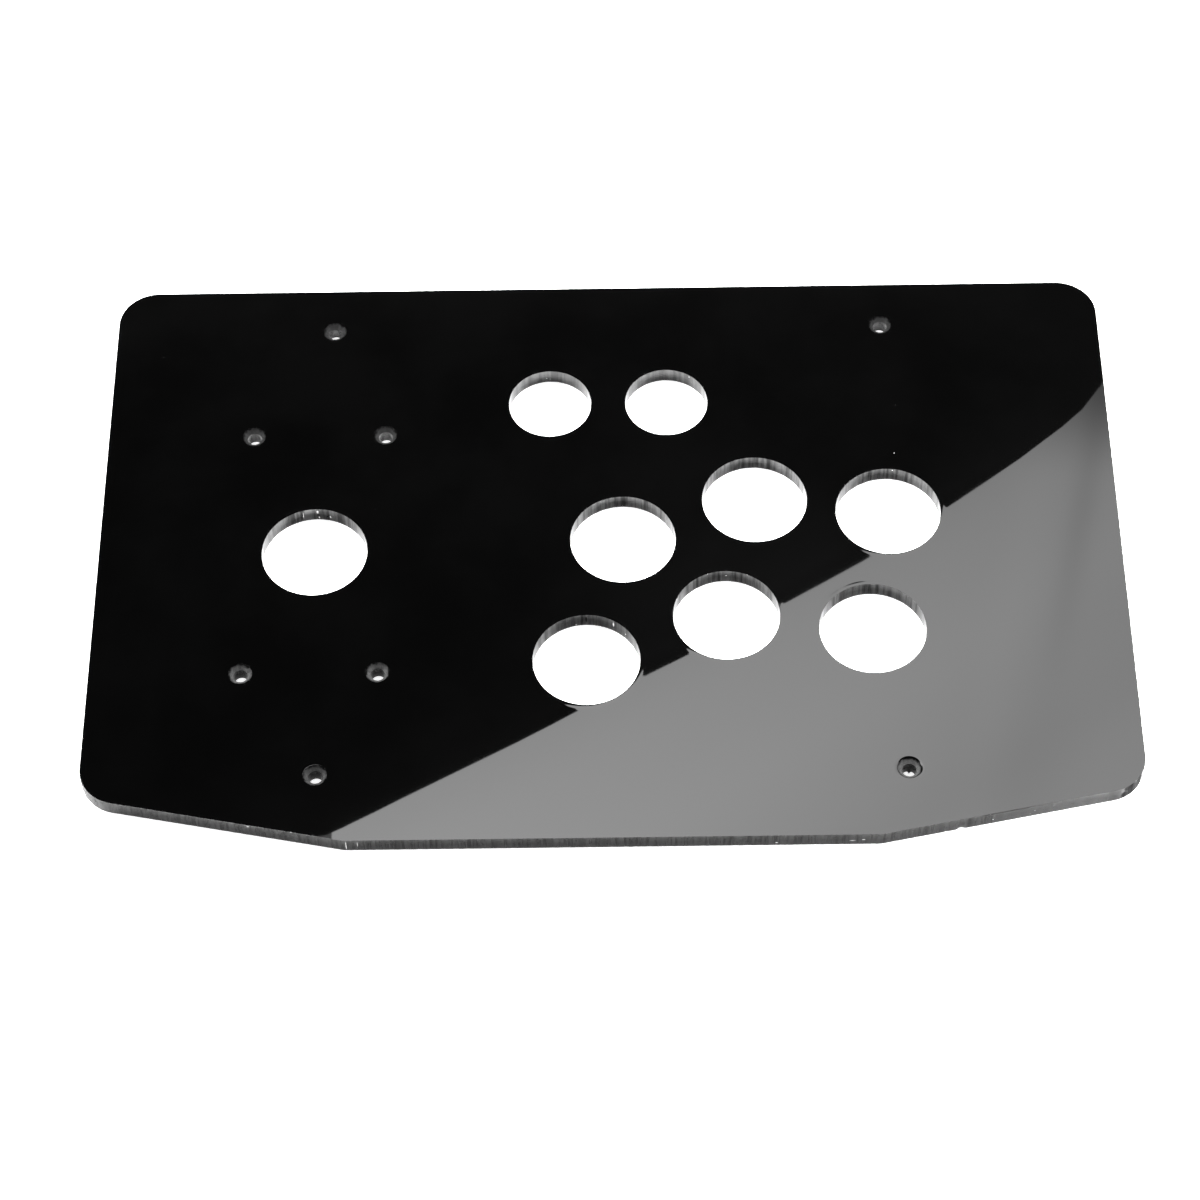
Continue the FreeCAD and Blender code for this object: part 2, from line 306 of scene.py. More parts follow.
def fill(loops, z, up, pitch):
    """Triangles between the loops of one face, over a loose inner grid."""
    ids, flat, edges, loop_of = [], [], [], []
    for k, (start, count) in enumerate(loops):
        base = len(flat)
        for i in range(count):
            x, y, _ = verts[start + i]
            flat.append(Vector((x / MM, y / MM)))
            ids.append(start + i)
            loop_of.append(k)
            edges.append((base + i, base + (i + 1) % count))
    border = np.array([(q.x, q.y) for q in flat])
    outer = border[:loops[0][1]]
    along = np.roll(outer, -1, 0) - outer
    along /= np.linalg.norm(along, axis=1)[:, None]
    y, odd = -HALF_D + pitch, 0
    while y < HALF_D - 3:
        x = -HALF_W + pitch * (0.5 if odd else 1.0)
        while x < HALF_W - 3:
            gap = np.min(np.hypot(border[:, 0] - x, border[:, 1] - y))
            clear = all(math.hypot(x - cx, y - cy) > radius for cx, cy, radius in rings)
            within = np.min(along[:, 0] * (y - outer[:, 1])
                            - along[:, 1] * (x - outer[:, 0]))
            if gap > 2.4 and within > 2.0 and clear:
                flat.append(Vector((x, y)))
                ids.append(None)
                loop_of.append(-1)
            x += pitch
        y += pitch * 0.866
        odd = 1 - odd
    spots, _, triangles, sources = delaunay_2d_cdt(flat, edges, [], 0, 1e-6, True)[:4]
    index, loop = [], []
    for spot, source in zip(spots, sources):
        vertex = ids[source[0]] if source else None
        loop.append(loop_of[source[0]] if source else -1)
        if vertex is None:
            vertex = add_row(np.array([(spot.x, spot.y)]), z)[0]
        index.append(vertex)
    for corners in triangles:
        (x0, y0), (x1, y1), (x2, y2) = (spots[i] for i in corners)
        twice = (x1 - x0) * (y2 - y0) - (x2 - x0) * (y1 - y0)
        touched = {loop[i] for i in corners}
        first = min(touched)
        # three corners on one hole's ring lie in that hole; a sliver on the
        # outline's ring lies outside a straight run
        if len(touched) == 1 and (first > 0 or (first == 0 and abs(twice) < 1e-4)):
            continue
        face = [index[i] for i in corners]
        faces.append(tuple(face if (twice > 0) == up else face[::-1]))
        face_mat.append(FACE)


def mounts(kind):
    """(name, x, y, dimensions) of the CAD mounts of one kind."""
    return [(mount["name"], mount["pos_m"][0] / MM, mount["pos_m"][1] / MM, mount["dims"])
            for mount in record["mounts"] if mount["kind"] == kind]


def build_sheet():
    cut_edge(*outline_loop(), EDGE, bead_gain=0.05, tilt=0.05, ragged=1.0,
             nicks=OUTLINE_NICKS)
    for _, x, y, dims in mounts("bore"):
        radius = dims["r_mm"]
        count = int(round(2 * math.pi * radius / HOLE_STEP))
        normals = circle_normals(count, -math.pi / 2)
        cut_edge(np.array((x, y)) - normals * radius, normals, HOLE,
                 bead_gain=1.0, tilt=0.055, ragged=0.8)
        rings.append((x, y, radius + 3.0))
    for name, mid_x, mid_y, dims in mounts("bolt_pattern"):
        half_x, half_y = dims["spacing_x_mm"] / 2, dims["spacing_y_mm"] / 2
        for side_x, side_y in ((-1, -1), (1, -1), (1, 1), (-1, 1)):
            x, y = mid_x + side_x * half_x, mid_y + side_y * half_y
            case = name == "case_screws"
            front_right = case and y < 0 < x
            rear_left = case and x < 0 < y
            screw_hole((x, y), dims["hole_r_mm"],
                       ragged=2.0 if rear_left else 0.2 if front_right else 1.0,
                       shoulder=0.9 if front_right else 0.0,
                       burr=0.8 if front_right else 0.0)
            rings.append((x, y, CSK_R + 2.4))
    fill(upper_loops, TOP, True, UPPER_PITCH)
    fill(lower_loops, BOTTOM, False, LOWER_PITCH)

    mesh = bpy.data.meshes.new("panel_sheet")
    mesh.from_pydata(verts, [], faces)
    mesh.polygons.foreach_set("material_index", face_mat)
    mesh.polygons.foreach_set("use_smooth", [True] * len(faces))
    for name, values in (("tool_r", tool_r), ("rim", rim)):
        mesh.attributes.new(name, "FLOAT", "POINT").data.foreach_set(
            "value", np.array(values, np.float32))
    mesh.update()
    sheet = bpy.data.objects.new("panel_sheet", mesh)
    bpy.context.scene.collection.objects.link(sheet)
    return sheet


panel = build_sheet()


# --------------------------------------------------------------------------
# Node helpers
# --------------------------------------------------------------------------
class Tree:
    """Short forms for the nodes of a material or of the world."""

    def __init__(self, owner):
        owner.use_nodes = True
        self.tree = owner.node_tree
        self.tree.nodes.clear()

    def new(self, kind, **props):
        node = self.tree.nodes.new("ShaderNode" + kind)
        for key, value in props.items():
            setattr(node, key, value)
        return node

    def put(self, socket, value):
        if isinstance(value, bpy.types.NodeSocket):
            self.tree.links.new(value, socket)
        else:
            socket.default_value = value

    def shader(self, kind, **inputs):
        """A shader node; underscores in input names stand for spaces."""
        node = self.new(kind)
        for key, value in inputs.items():
            self.put(node.inputs[key.replace("_", " ")], value)
        return node

    def output(self, shader, kind="Material"):
        self.put(self.new("Output" + kind).inputs[0], shader.outputs[0])

    def math(self, operation, *values, clamp=False):
        node = self.new("Math", operation=operation, use_clamp=clamp)
        for socket, value in zip(node.inputs, values):
            self.put(socket, value)
        return node.outputs[0]

    def add(self, a, b, clamp=False):
        return self.math("ADD", a, b, clamp=clamp)

    def mul(self, a, b):
        return self.math("MULTIPLY", a, b)

    def invert(self, value):
        return self.math("SUBTRACT", 1.0, value)

    def affine(self, value, gain, offset):
        return self.math("MULTIPLY_ADD", value, gain, offset)

    def exp(self, value):
        return self.math("POWER", 2.718, value)

    def vmath(self, operation, *values):
        node = self.new("VectorMath", operation=operation)
        for socket, value in zip(node.inputs, values):
            self.put(socket, value)
        return node.outputs["Value" if operation == "LENGTH" else "Vector"]

    def scaled(self, vector, factors):
        return self.vmath("MULTIPLY", vector, factors)

    def ramp(self, value, span, to=(0.0, 1.0), smooth=True):
        """Carry the span of a value over to another span, clamped."""
        node = self.new("MapRange",
                        interpolation_type="SMOOTHSTEP" if smooth else "LINEAR")
        self.put(node.inputs["Value"], value)
        for key, number in zip(("From Min", "From Max", "To Min", "To Max"), span + to):
            node.inputs[key].default_value = number
        return node.outputs["Result"]

    def noise(self, vector, scale, detail=2.0, rough=0.5):
        return self.shader("TexNoise", Vector=vector, Scale=scale, Detail=detail,
                           Roughness=rough).outputs[0]

    def position(self):
        return self.new("TexCoord").outputs["Object"]

    def attribute(self, name):
        return self.new("Attribute", attribute_name=name).outputs["Fac"]

    def axes(self, vector):
        node = self.new("SeparateXYZ")
        self.put(node.inputs[0], vector)
        return node.outputs

    def grey(self, value):
        node = self.new("CombineColor")
        for i in range(3):
            self.put(node.inputs[i], value)
        return node.outputs[0]

    def blob(self, vector, centre, radii, soft):
        """1 inside an ellipsoid, fading to 0 at its skin. Millimetres."""
        offset = self.vmath("SUBTRACT", vector, tuple(c * MM for c in centre))
        offset = self.scaled(offset, tuple(1 / (r * MM) for r in radii))
        return self.ramp(self.vmath("LENGTH", offset), span=(1.0 - soft, 1.0),
                         to=(1.0, 0.0))

    def most(self, values):
        out = values[0]
        for value in values[1:]:
            out = self.math("MAXIMUM", out, value)
        return out

    def specks(self, vector, scale, low, high, share):
        """Round specks, radii low to high (m), in a share of the Voronoi cells.

        Returns their mask and a random tone per cell."""
        cells = self.shader("TexVoronoi", Vector=vector, Scale=scale)
        colour = self.new("SeparateColor")
        self.put(colour.inputs[0], cells.outputs["Color"])
        size = self.ramp(colour.outputs[0], span=(0.0, 1.0),
                         to=(low * scale, high * scale), smooth=False)
        there = self.ramp(colour.outputs[1], span=(share, share + 0.001),
                          to=(1.0, 0.0), smooth=False)
        inside = self.math("LESS_THAN", cells.outputs["Distance"], size)
        return self.mul(inside, there), colour.outputs[2]

    def bumps(self, layers):
        """Chain of bump nodes from (height, distance, strength) layers."""
        normal = None
        for height, distance, strength in layers:
            bump = self.shader("Bump", Height=height, Distance=distance,
                               Strength=strength)
            if normal is not None:
                self.put(bump.inputs["Normal"], normal)
            normal = bump.outputs[0]
        return normal


def new_material(name):
    material = bpy.data.materials.new(name)
    return material, Tree(material)


def acrylic(tree, tone, roughness, normal, **inputs):
    tree.output(tree.shader("BsdfPrincipled", IOR=1.49, Base_Color=tree.grey(tone),
                            Roughness=roughness, Normal=normal, **inputs))


# --------------------------------------------------------------------------
# Gloss face of the cast sheet
# --------------------------------------------------------------------------
# loose clusters of dust: (x, y, radius in x, radius in y), millimetres
DUST_CLUSTERS = [(19, 0, 15, 11), (55, 10, 12, 8), (88, 55, 14, 10),
                 (128, 78, 12, 9), (118, 58, 12, 12), (-138, 69, 9, 12),
                 (-33, -8, 12, 9), (-45, 20, 14, 16), (60, 62, 22, 12)]


def face_material():
    material, tree = new_material("acrylic_gloss_face")
    pos = tree.position()
    cloud = tree.noise(pos, scale=28.0, detail=3.0, rough=0.55)
    fine = tree.noise(pos, scale=900.0, rough=0.6)
    wipe = tree.noise(tree.scaled(pos, (9.0, 42.0, 9.0)), scale=1.0, detail=3.0, rough=0.6)

    # a few larger specks everywhere, small ones only in the clusters
    large, _ = tree.specks(pos, scale=95.0, low=0.00005, high=0.00019, share=0.16)
    small, tone = tree.specks(pos, scale=420.0, low=0.00003, high=0.00009, share=0.11)
    cluster = tree.most([tree.blob(pos, (x, y, 5), (radius_x, radius_y, 9.0), soft=0.9)
                         for x, y, radius_x, radius_y in DUST_CLUSTERS])
    small = tree.mul(small, tree.math("GREATER_THAN", tree.mul(cluster, 0.9), tone))
    dust = tree.math("MAXIMUM", large, small, clamp=True)
    dust_lit = tree.mul(dust, tree.ramp(fine, span=(0.35, 0.65), to=(0.05, 0.26)))

    scuff = tree.noise(pos, scale=700.0, detail=3.0, rough=0.7)
    worn = tree.mul(tree.attribute("rim"), tree.ramp(scuff, span=(0.52, 0.72)))

    base = tree.ramp(cloud, span=(0.3, 0.7), to=(0.0001, 0.0003))
    base = tree.add(base, dust_lit)
    base = tree.add(base, tree.mul(worn, 0.004))

    rough = tree.ramp(wipe, span=(0.35, 0.75), to=(0.009, 0.015))
    rough = tree.add(rough, tree.mul(dust, 0.5))
    rough = tree.add(rough, tree.mul(worn, 0.12))

    swell = tree.noise(pos, scale=30.0, detail=1.0, rough=0.4)
    # (height, distance in metres, strength)
    normal = tree.bumps([(swell, 0.0000012, 1.0), (dust, 0.00003, 0.35)])
    acrylic(tree, base, rough, normal)
    return material


# --------------------------------------------------------------------------
# Laser-cut edges: the outline is a little frosted, the holes are glossier
# --------------------------------------------------------------------------
# pale marks: (x, y, z, three radii in millimetres, softness)
EDGE_MARKS = [
    (-72.0, -96.0, 2.4, 0.20, 0.5, 2.6, 0.6), (-68.9, -96.0, 3.0, 0.14, 0.4, 1.5, 0.7),
    (44.2, -96.0, 1.4, 0.5, 0.4, 0.35, 0.8), (64.7, -96.0, 2.0, 1.1, 0.4, 0.25, 0.8),
    (67.6, -96.0, 2.4, 0.6, 0.4, 0.30, 0.8), (-98.6, -90.8, 4.4, 0.5, 0.5, 0.3, 0.8),
    (-86.8, -93.1, 5.0, 0.5, 0.5, 0.25, 0.8),
]
HOLE_MARKS = [
    (-9.7, -23.4, 0.6, 0.35, 0.5, 0.3, 0.8), (0.8, -25.2, 3.2, 0.3, 0.6, 1.6, 0.9),
    (32.9, -8.6, 2.9, 0.22, 0.4, 0.22, 0.6), (27.6, -9.5, 4.9, 0.22, 0.4, 0.2, 0.6),
    (-83.8, 15.0, 3.6, 0.45, 0.5, 1.0, 0.9), (-83.5, 15.0, 1.1, 0.30, 0.5, 0.7, 0.9),
    (-80.2, 14.5, 1.9, 0.35, 0.5, 0.6, 0.9), (-87.9, 14.5, 2.6, 0.12, 0.4, 2.2, 0.7),
]
# painted shade: dark patches standing in for shade mirrored in the walls; the same columns,
# then the strength
EDGE_PAINTED_SHADE = [
    (139.2, -82.3, 1.6, 1.8, 1.8, 2.4, 0.6, 1.0), (141.2, -80.9, 2.5, 2.3, 2.3, 5.0, 0.5, 1.0),
    (143.2, -78.9, 3.0, 2.1, 2.5, 4.6, 0.5, 1.0), (140.1, -81.7, 4.4, 1.9, 1.9, 2.4, 0.5, 1.0),
    (136.6, -83.2, 3.0, 4.2, 1.8, 6.0, 0.8, 0.45), (144.9, -76.0, 3.0, 1.4, 2.4, 6.0, 0.8, 0.4),
    (104.3, -90.6, 2.8, 0.35, 0.6, 3.0, 0.8, 1.0), (96.4, -91.2, 2.8, 1.5, 0.8, 3.6, 0.9, 0.42),
]
HOLE_PAINTED_SHADE = [
    (-6.8, -23.1, 2.9, 0.40, 0.5, 1.9, 0.6, 1.0), (19.0, -17.3, 4.8, 0.5, 0.6, 0.5, 0.7, 1.0),
    (-83.9, 15.0, 2.2, 0.25, 0.5, 0.3, 0.7, 1.0), (-81.0, 14.7, 2.0, 0.3, 0.5, 0.6, 0.7, 1.0),
]


def cut_material(name, outline, tone, gloss, relief, swing, marks, dark):
    """Streaked wall of a cut, for the outline or for the holes.

    tone: base grey, gloss: mean roughness, relief: bump strength,
    swing: how far the streaks move the specular level."""
    material, tree = new_material(name)
    pos = tree.position()
    warp = tree.vmath("ADD", pos, tree.scaled(
        tree.new("TexNoise").outputs["Color"], (0.00012, 0.00012, 0.0)))

    def streaks(squash, **settings):
        """Noise drawn out along z."""
        return tree.noise(tree.scaled(warp, (1.0, 1.0, squash)), **settings)

    streak = streaks(0.05, scale=1250.0, detail=3.0, rough=0.6)
    broad = streaks(0.09, scale=420.0, rough=0.55)
    hair = streaks(0.02, scale=5200.0, detail=1.0)
    mottle = tree.noise(pos, scale=650.0, detail=3.0, rough=0.65)
    patch = tree.noise(pos, scale=90.0)
    bits, bit_tone = tree.specks(pos, scale=900.0, low=0.00005, high=0.00022, share=0.05)
    band = tree.affine(streak, gain=0.5, offset=tree.mul(broad, 0.5))

    # far along the right-hand oblique run the cut turns smooth
    x, y, _ = tree.axes(pos)
    calm = tree.mul(tree.ramp(x, span=(0.1005, 0.1058), to=(0.0, 0.85)),
                    tree.ramp(y, span=(-0.074, -0.070), to=(1.0, 0.0)))

    scar = tree.most([tree.blob(pos, mark[:3], mark[3:6], mark[6]) for mark in marks])
    # painted shade: patches that darken the colour and the reflections of the walls
    painted_shade = tree.most([tree.mul(tree.blob(pos, mark[:3], mark[3:6], mark[6]), mark[7])
                      for mark in dark])
    painted_shade = tree.mul(painted_shade, tree.ramp(band, span=(0.36, 0.54), to=(0.88, 1.0)))
    scar = tree.mul(scar, tree.ramp(mottle, span=(0.3, 0.6), to=(0.45, 1.0)))

    base = tree.ramp(streak, span=(0.3, 0.7), to=(tone * 0.6, tone * 1.5))
    base = tree.mul(base, tree.ramp(patch, span=(0.3, 0.7), to=(0.8, 1.2)))
    base = tree.add(base, tree.mul(bits, bit_tone))
    base = tree.add(base, tree.mul(scar, 0.75))
    if outline:
        # painted highlight along the rolled rim at the left, a dark line along it at the right
        rim_nearness = tree.attribute("rim")
        painted_rim_highlight = tree.mul(tree.ramp(rim_nearness, span=(0.70, 0.93)),
                          tree.ramp(x, span=(-0.078, -0.070), to=(1.0, 0.12)))
        painted_rim_highlight = tree.mul(painted_rim_highlight, tree.ramp(mottle, span=(0.35, 0.65), to=(0.25, 1.0)))
        base = tree.add(base, tree.mul(painted_rim_highlight, 0.20))
        line = tree.mul(tree.ramp(rim_nearness, span=(0.30, 0.70)),
                        tree.ramp(x, span=(0.098, 0.103)))
        line = tree.mul(line, tree.ramp(x, span=(0.108, 0.128), to=(0.8, 0.0)))
        painted_shade = tree.math("MAXIMUM", painted_shade, line)
    # the painted shade darkens the colour
    base = tree.mul(base, tree.invert(painted_shade))

    rough = tree.ramp(streak, span=(0.32, 0.68), to=(gloss * 0.65, gloss * 1.5))
    rough = tree.add(rough, tree.ramp(mottle, span=(0.55, 0.75), to=(0.0, gloss * 0.9)))
    rough = tree.add(rough, tree.mul(bits, 0.4))
    rough = tree.mul(rough, tree.invert(tree.mul(calm, 0.5)))
    rough = tree.add(rough, tree.mul(scar, 0.5))
    rough = tree.add(rough, tree.mul(painted_shade, 0.45), clamp=True)

    if not outline:
        # the holes towards the rear were cut more evenly
        calm = tree.ramp(y, span=(0.030, 0.038), to=(0.0, 0.5))
    level = tree.ramp(band, span=(0.38, 0.62), to=(-swing, swing))
    level = tree.affine(level, gain=tree.invert(calm), offset=0.5)
    # the painted shade dims the reflections
    level = tree.mul(level, tree.invert(tree.mul(painted_shade, 0.92)))
    if outline:
        # reflections a little darker towards the right of the front, up to the smooth part
        darker_to_right = tree.ramp(x, span=(-0.06, 0.08), to=(0.06, 0.20))
        darker_to_right = tree.mul(darker_to_right, tree.invert(calm))
        level = tree.mul(level, tree.invert(darker_to_right))
    else:
        # painted shade: the holes' reflections are dimmed in the front row and strengthened in
        # the rows behind it
        level = tree.mul(level, tree.ramp(y, span=(-0.026, 0.002), to=(0.80, 1.26)))

    # (height, distance in metres, strength)
    layers = [(broad, 0.00010, relief), (streak, 0.00003, relief),
              (hair, 0.000006, relief), (mottle, 0.00002, relief * 0.8)]
    normal = tree.bumps([(height, distance, tree.mul(strength, tree.invert(calm)))
                         for height, distance, strength in layers])
    acrylic(tree, base, rough, normal, Specular_IOR_Level=level)
    return material


def sunk_material():
    """Countersink and bore of the screw holes: cut by a tool, left matt."""
    material, tree = new_material("acrylic_countersunk")
    pos = tree.position()
    radius = tree.attribute("tool_r")
    wobble = tree.noise(pos, scale=1200.0, rough=0.6)
    # turning marks: rings around the axis
    turn = tree.math("SINE", tree.add(tree.mul(radius, 52000.0), tree.mul(wobble, 5.0)))
    grain = tree.noise(pos, scale=3800.0, detail=3.0, rough=0.65)
    cloud = tree.noise(pos, scale=700.0, rough=0.6)
    cone = tree.ramp(radius, span=(0.00193, 0.00203))
    y = tree.axes(pos)[1]

    # frosting of the cone, strongest at the front
    frost = tree.mul(tree.ramp(grain, span=(0.3, 0.7), to=(0.012, 0.038)),
                     tree.ramp(cloud, span=(0.3, 0.7), to=(0.7, 1.3)))
    frost = tree.add(frost, tree.mul(turn, 0.003), clamp=True)
    frost = tree.mul(frost, tree.ramp(y, span=(-0.08, 0.045), to=(1.45, 0.30), smooth=False))
    # it thins out unevenly towards the face
    loose = tree.affine(tree.math("SUBTRACT", cloud, 0.5), gain=0.0018, offset=radius)
    fade = tree.ramp(loose, span=(0.0026, 0.0034), to=(1.0, 0.0))
    frost = tree.mul(frost, fade)
    front_left = tree.blob(pos, (-81, -75, 2), (9, 9, 9), soft=0.4)
    frost = tree.mul(frost, tree.invert(tree.mul(front_left, 0.45)))

    # tone of the bore, paler towards the rear
    plain = tree.mul(tree.ramp(y, span=(-0.08, 0.05), to=(0.014, 0.075), smooth=False),
                     tree.ramp(grain, span=(0.3, 0.7), to=(0.7, 1.3)))
    rear_left = tree.blob(pos, (-81, 80.5, 2), (9, 9, 9), soft=0.4)
    mid_left = tree.blob(pos, (-84, 41.5, 2), (32, 12, 12), soft=0.4)
    local = tree.add(tree.mul(rear_left, -0.55), tree.mul(mid_left, 0.55))
    plain = tree.mul(plain, tree.add(local, 1.0))

    tone = tree.affine(cone, gain=tree.math("SUBTRACT", frost, plain), offset=plain)
    rough = tree.add(tree.ramp(cone, span=(0.0, 1.0), to=(0.09, 0.50)),
                     tree.ramp(grain, span=(0.3, 0.7), to=(-0.05, 0.08)))
    level = tree.affine(tree.mul(cone, tree.invert(fade)), gain=-0.43, offset=0.5)
    # (height, distance in metres)
    layers = [(turn, 0.000006), (grain, 0.00003), (cloud, 0.00006)]
    normal = tree.bumps([(height, distance, tree.affine(cone, gain=0.6, offset=0.1))
                         for height, distance in layers])
    acrylic(tree, tone, rough, normal, Specular_IOR_Level=level)
    return material


for material in (
        face_material(),
        cut_material("acrylic_cut_edge", outline=True, tone=0.010, gloss=0.28,
                     relief=0.40, swing=0.16, marks=EDGE_MARKS, dark=EDGE_PAINTED_SHADE),
        cut_material("acrylic_cut_hole", outline=False, tone=0.003, gloss=0.10,
                     relief=0.48, swing=0.38, marks=HOLE_MARKS, dark=HOLE_PAINTED_SHADE),
        sunk_material()):
    panel.data.materials.append(material)

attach(panel, "root")
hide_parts("control_panel")


# --------------------------------------------------------------------------
# Floor, sky and soft lights (stage), in metres
# --------------------------------------------------------------------------
def stage_mesh(name, points, material):
    """One flat polygon."""
    mesh = bpy.data.meshes.new(name)
    mesh.from_pydata(points, [], [tuple(range(len(points)))])
    mesh.update()
    item = bpy.data.objects.new(name, mesh)
    bpy.context.scene.collection.objects.link(item)
    mesh.materials.append(material)
    return item


def floor_material():
    material, tree = new_material("pale_floor")
    pos = tree.position()
    path = tree.new("LightPath").outputs
    # painted shade: glossy rays that meet the floor at a low angle see it darker, so walls seen
    # along their length don't mirror it as pure white
    incoming = tree.axes(tree.new("NewGeometry").outputs["Incoming"])
    dim = tree.math("MAXIMUM", tree.ramp(incoming[2], span=(0.06, 0.42), to=(0.25, 1.0)),
                    tree.invert(path["Is Glossy Ray"]))
    tone = tree.ramp(tree.noise(pos, scale=3.0), span=(0.3, 0.7), to=(0.84, 0.86))
    diffuse = tree.shader("BsdfDiffuse", Color=tree.grey(tree.mul(dim, tone)))
    # the eye sees an evenly lit white sweep; reflections see the shaded floor plus a painted
    # glow, brightest where a wall stands on it
    painted_glow_near_walls = tree.exp(tree.mul(path["Ray Length"], -1 / 0.0016))
    painted_glow_near_walls = tree.mul(painted_glow_near_walls, tree.mul(path["Is Glossy Ray"], 0.9))
    painted_glow_near_walls = tree.mul(painted_glow_near_walls, dim)
    glow = tree.shader("Emission", Strength=tree.affine(
        path["Is Camera Ray"], gain=0.92, offset=painted_glow_near_walls))
    both = tree.new("AddShader")
    tree.put(both.inputs[0], diffuse.outputs[0])
    tree.put(both.inputs[1], glow.outputs[0])
    tree.output(both)
    return material


FLOOR_Z = BOTTOM * MM - 0.00015
FLOOR_HALF = 30
stage_mesh("floor", [(x * FLOOR_HALF, y * FLOOR_HALF, FLOOR_Z)
                     for x, y in ((-1, -1), (1, -1), (1, 1), (-1, 1))], floor_material())


def softbox_material():
    material, tree = new_material("softbox_cloth")
    x, y, _ = tree.axes(tree.position())

    def ridge(value, middle, width, amount):
        """Bell-shaped rise or dip across a value."""
        away = tree.mul(tree.math("SUBTRACT", value, middle), 1 / width)
        return tree.mul(tree.exp(tree.mul(tree.mul(away, away), -1.0)), amount)

    # brightest towards the middle of the lamp, dimmer to the right and rear
    level = tree.affine(x, gain=-5.0, offset=7.6)
    level = tree.affine(y, gain=-1.7, offset=level)
    level = tree.math("MINIMUM", level, 8.0)
    # two soft folds across the cloth and one broader dip
    across = tree.add(tree.mul(x, -0.574), tree.mul(y, 0.819))
    level = tree.add(level, ridge(across, middle=0.405, width=0.035, amount=0.25))
    level = tree.add(level, ridge(across, middle=0.320, width=0.025, amount=-0.25))
    level = tree.add(level, ridge(across, middle=0.525, width=0.040, amount=-0.9))
    # a crease that runs away to the rear right, sharper as it goes
    crease = tree.affine(y, gain=-0.23, offset=tree.add(x, 0.1265))
    rear = tree.ramp(y, span=(0.58, 0.74))
    level = tree.add(level, tree.mul(
        ridge(crease, middle=0.2512, width=0.034, amount=-0.34), tree.invert(rear)))
    level = tree.add(level, tree.mul(
        ridge(crease, middle=0.2512, width=0.010, amount=-0.62), rear))
    level = tree.add(level, ridge(crease, middle=0.219, width=0.016, amount=0.15))
    level = tree.add(level, tree.mul(tree.ramp(x, span=(0.20, 0.29), to=(0.0, 0.40)),
                                     tree.ramp(y, span=(0.58, 0.70), to=(1.0, 0.0))))
    # the lamp fades out towards its far right corner
    fade = tree.mul(tree.ramp(y, span=(0.765, 0.85)), tree.ramp(x, span=(0.22, 0.32)))
    level = tree.mul(level, tree.invert(tree.mul(fade, 0.6)))
    level = tree.math("MAXIMUM", level, 0.5)
    # narrow dim lip at the left end
    lip = tree.math("LESS_THAN", x, -0.171)
    lip = tree.mul(lip, tree.math("GREATER_THAN", y, 0.495))
    level = tree.mul(level, tree.invert(tree.mul(lip, 0.8)))
    tree.output(tree.shader("Emission", Strength=level))
    return material


SOFTBOX_Z = TOP * MM + 1.0
# (x, y) of the softbox border, millimetres
SOFTBOX_BORDER = [
    (-190, 495), (-190, 509.5), (-181, 510.4), (-171.5, 513.4), (-165, 516.8),
    (-158, 520.8), (-147, 526.9), (-130, 536.9), (-108, 549.3), (-83, 563.4),
    (-61, 575.8), (-40, 588.3), (-29, 595.2), (19, 624), (42, 637.2),
    (106, 676.6), (133, 693.4), (156, 708.1), (215, 751.8), (239, 770.4),
    (260, 786.9), (276, 800.9), (289, 812.1), (303, 826), (317, 846),
    (335, 885), (345, 930), (900, 930), (900, 280), (-750, 280), (-750, 495)]
softbox = stage_mesh("softbox", [(x * MM, y * MM, SOFTBOX_Z) for x, y in SOFTBOX_BORDER],
                     softbox_material())
softbox.visible_camera = False

# square lamps: (name, middle, point they face, side length, strength)
LAMPS = [
    ("rear_left_lamp", (-0.631, 0.245, 0.386), (0, 0, 0), 0.336, 58.0),
    ("rear_right_lamp", (0.508, 0.280, 0.429), (0, 0, 0), 0.21, 98.0),
    ("front_right_lamp", (0.472, -0.277, 0.287), (0, 0, 0), 0.12, 29.0),
    ("top_lamp_a", (-0.060, 0.135, 0.205), (0, 0, 0), 0.08, 60.0),
    ("top_lamp_b", (0.045, 0.145, 0.205), (0, 0, 0), 0.08, 40.0),
    ("low_right_lamp", (0.188, -0.117, 0.061), (0.12, -0.10, 0), 0.042, 42.0),
]


def lamp_card(name, middle, aim, size, strength):
    middle = Vector(middle)
    facing = (Vector(aim) - middle).normalized()
    across = facing.cross(Vector((0, 0, 1))).normalized()
    upward = facing.cross(across)
    corners = [tuple(middle + across * (i * size / 2) + upward * (j * size / 2))
               for i, j in ((-1, -1), (1, -1), (1, 1), (-1, 1))]
    material, tree = new_material(name)
    tree.output(tree.shader("Emission", Strength=strength))
    card = stage_mesh(name, corners, material)
    # they light the floor; the gloss face and rims do not mirror them
    card.visible_camera = False
    card.visible_glossy = False


for lamp in LAMPS:
    lamp_card(*lamp)


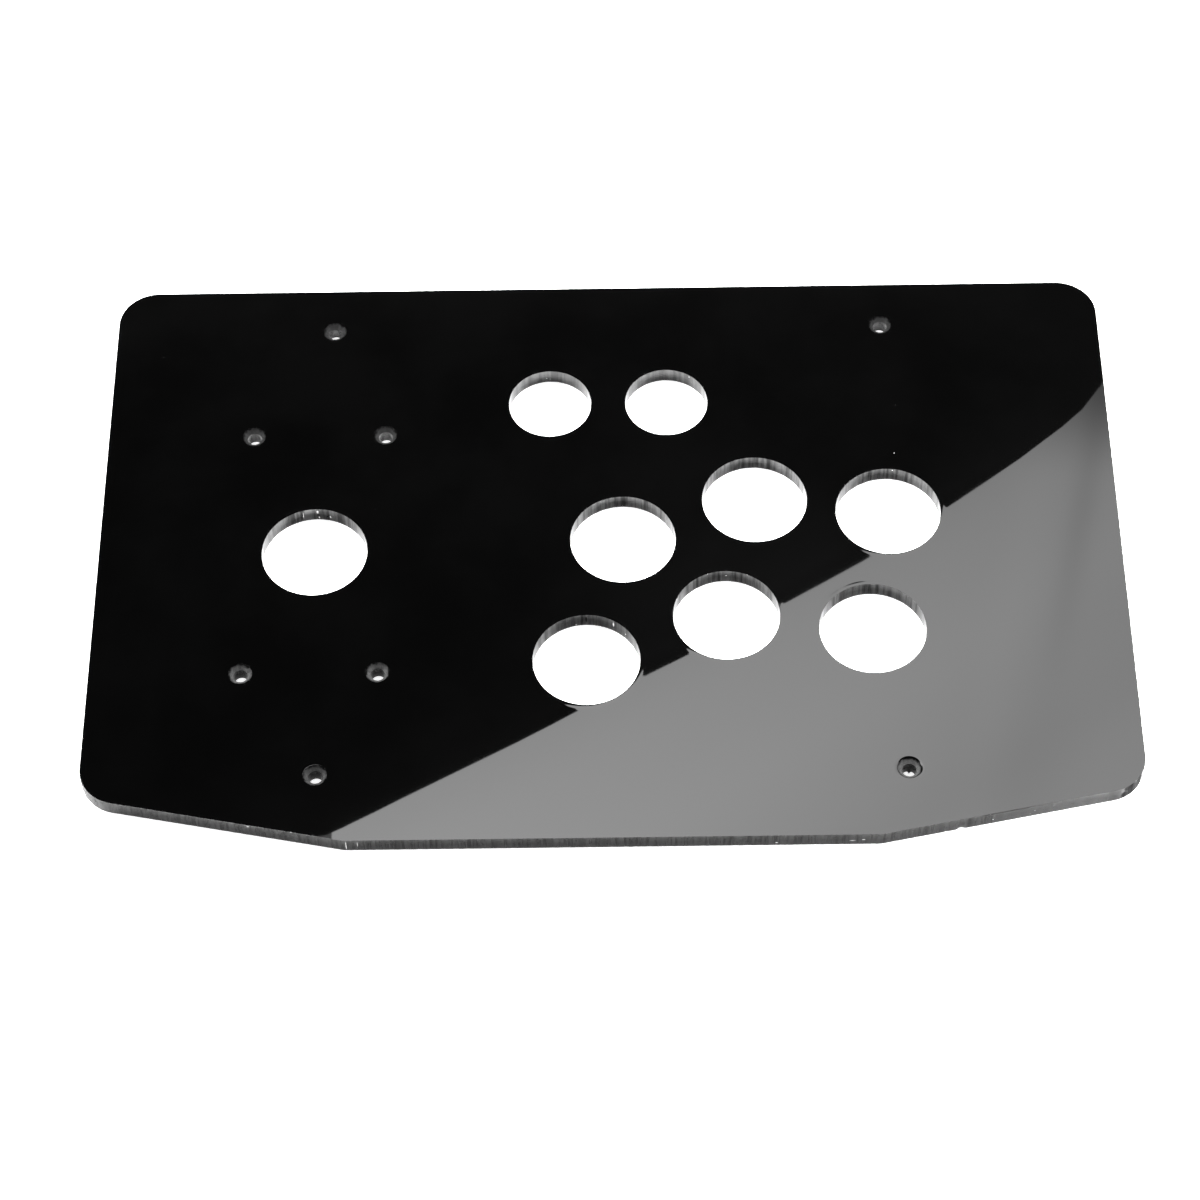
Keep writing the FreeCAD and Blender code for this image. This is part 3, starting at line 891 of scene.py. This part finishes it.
def build_sky():
    world = bpy.data.worlds.new("studio")
    bpy.context.scene.world = world
    tree = Tree(world)
    x, y, z = tree.axes(tree.new("TexCoord").outputs["Generated"])
    up = tree.math("MAXIMUM", z, 0.05)
    # where the mirrored line of sight meets the height of the softbox
    sky_x = tree.affine(tree.math("DIVIDE", x, up), gain=1.824, offset=0.0028)
    sky_y = tree.affine(tree.math("DIVIDE", y, up), gain=1.824, offset=-0.5935)

    def falloff(value, width, power):
        """exp(-|value / width| ** power)"""
        away = tree.math("ABSOLUTE", tree.mul(value, 1 / width))
        return tree.exp(tree.mul(tree.math("POWER", away, power), -1.0))

    # bright low down, a faint even light above, a little more to the right
    level = tree.add(tree.ramp(z, span=(0.60, 0.73), to=(0.60, 0.0)), 0.058)
    level = tree.add(level, tree.mul(tree.ramp(
        sky_x, span=(-0.30, 0.30), to=(-0.009, 0.009), smooth=False), 1.0))
    # a paler strip low at the rear, spill beside the softbox, and a pale spot
    low = tree.math("SUBTRACT", tree.math("MAXIMUM", up, 0.766), 0.765)
    level = tree.add(level, tree.mul(falloff(low, width=0.006, power=1.0), 0.040))
    spill = tree.affine(sky_x, gain=-0.65, offset=tree.math("SUBTRACT", sky_y, 0.6245))
    level = tree.add(level, tree.mul(falloff(spill, width=0.026, power=1.0), 0.045))
    spot = tree.mul(
        falloff(tree.math("SUBTRACT", sky_x, 0.060), width=0.085, power=2.0),
        falloff(tree.math("SUBTRACT", sky_y, 0.715), width=0.085, power=2.0))
    level = tree.add(level, tree.mul(spot, 0.055))
    # the eye sees plain white
    camera_ray = tree.new("LightPath").outputs["Is Camera Ray"]
    level = tree.math("MAXIMUM", level, camera_ray)
    tree.output(tree.shader("Background", Strength=level), "World")


build_sky()

# --------------------------------------------------------------------------
# Camera: in front of the sheet, looking to the rear and down
# --------------------------------------------------------------------------
CAMERA_PLACE = (0.00278, -0.5935, 0.82902)
CAMERA_ANGLES = (-0.55101, 55.07484, 1.17641)    # yaw, pitch down, roll; degrees
CAMERA_SHIFT = 0.00041667                        # share of the picture width


def build_camera():
    yaw, pitch, roll = (math.radians(angle) for angle in CAMERA_ANGLES)
    forward = Vector((math.sin(yaw) * math.cos(pitch),
                      math.cos(yaw) * math.cos(pitch), -math.sin(pitch)))
    right = Vector((math.cos(yaw), -math.sin(yaw), 0.0))
    down = forward.cross(right)
    cos, sin = math.cos(roll), math.sin(roll)
    side = right * cos + down * sin
    below = right * -sin + down * cos
    data = bpy.data.cameras.new("camera")
    data.sensor_width = 36.0
    data.lens = 107.094
    data.shift_x = -CAMERA_SHIFT
    data.shift_y = CAMERA_SHIFT
    data.clip_start = 0.05
    data.clip_end = 100.0
    camera = bpy.data.objects.new("camera", data)
    bpy.context.scene.collection.objects.link(camera)
    matrix = Matrix.Identity(4)
    for i in range(3):
        matrix[i][0], matrix[i][1], matrix[i][2] = side[i], -below[i], -forward[i]
    matrix.translation = Vector(CAMERA_PLACE)
    camera.matrix_world = matrix
    bpy.context.scene.camera = camera


build_camera()
view = bpy.context.scene.view_settings
view.view_transform = "Standard"
view.look = "None"
view.exposure = 0.0
view.gamma = 1.0
